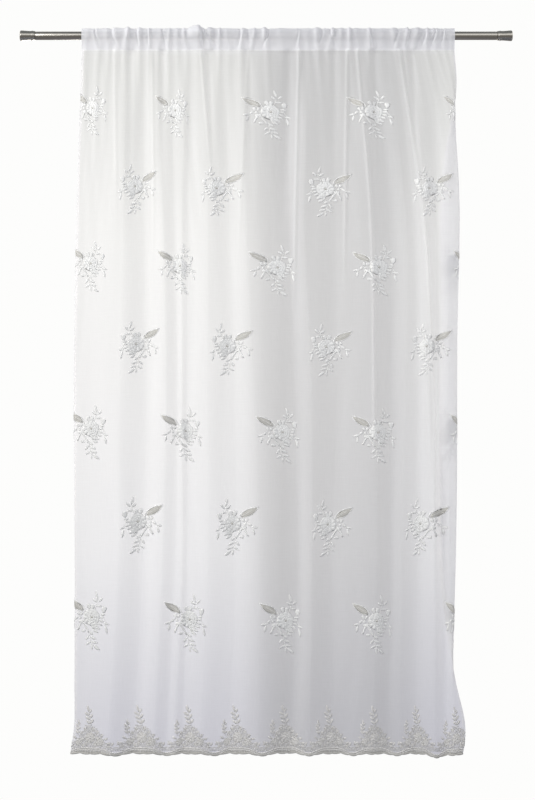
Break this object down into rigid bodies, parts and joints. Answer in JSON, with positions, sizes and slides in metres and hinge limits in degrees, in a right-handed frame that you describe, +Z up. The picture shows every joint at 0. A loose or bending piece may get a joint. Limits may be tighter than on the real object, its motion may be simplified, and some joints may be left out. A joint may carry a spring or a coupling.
{
  "type": "voile curtain on rod",
  "caption": "Sheer embroidered curtain panel with a gathered rod pocket and a scalloped hem, hanging from a plain metal rod with flared end caps.",
  "frame": {"origin": "middle of the rod, on its axis", "axes": "+X along the rod to the viewer's right, +Y away from the room towards the wall or window, +Z up"},
  "size_m": [1.625, 0.0651, 2.4101],
  "materials": {
    "voile": "sheer, plain weave, matt, with satin embroidery",
    "rod_metal": "satin nickel plate"
  },
  "bodies": {
    "root": {"curtain": "voile", "rod": "rod_metal", "cap_left": "rod_metal", "cap_right": "rod_metal"}
  },
  "joints": []
}
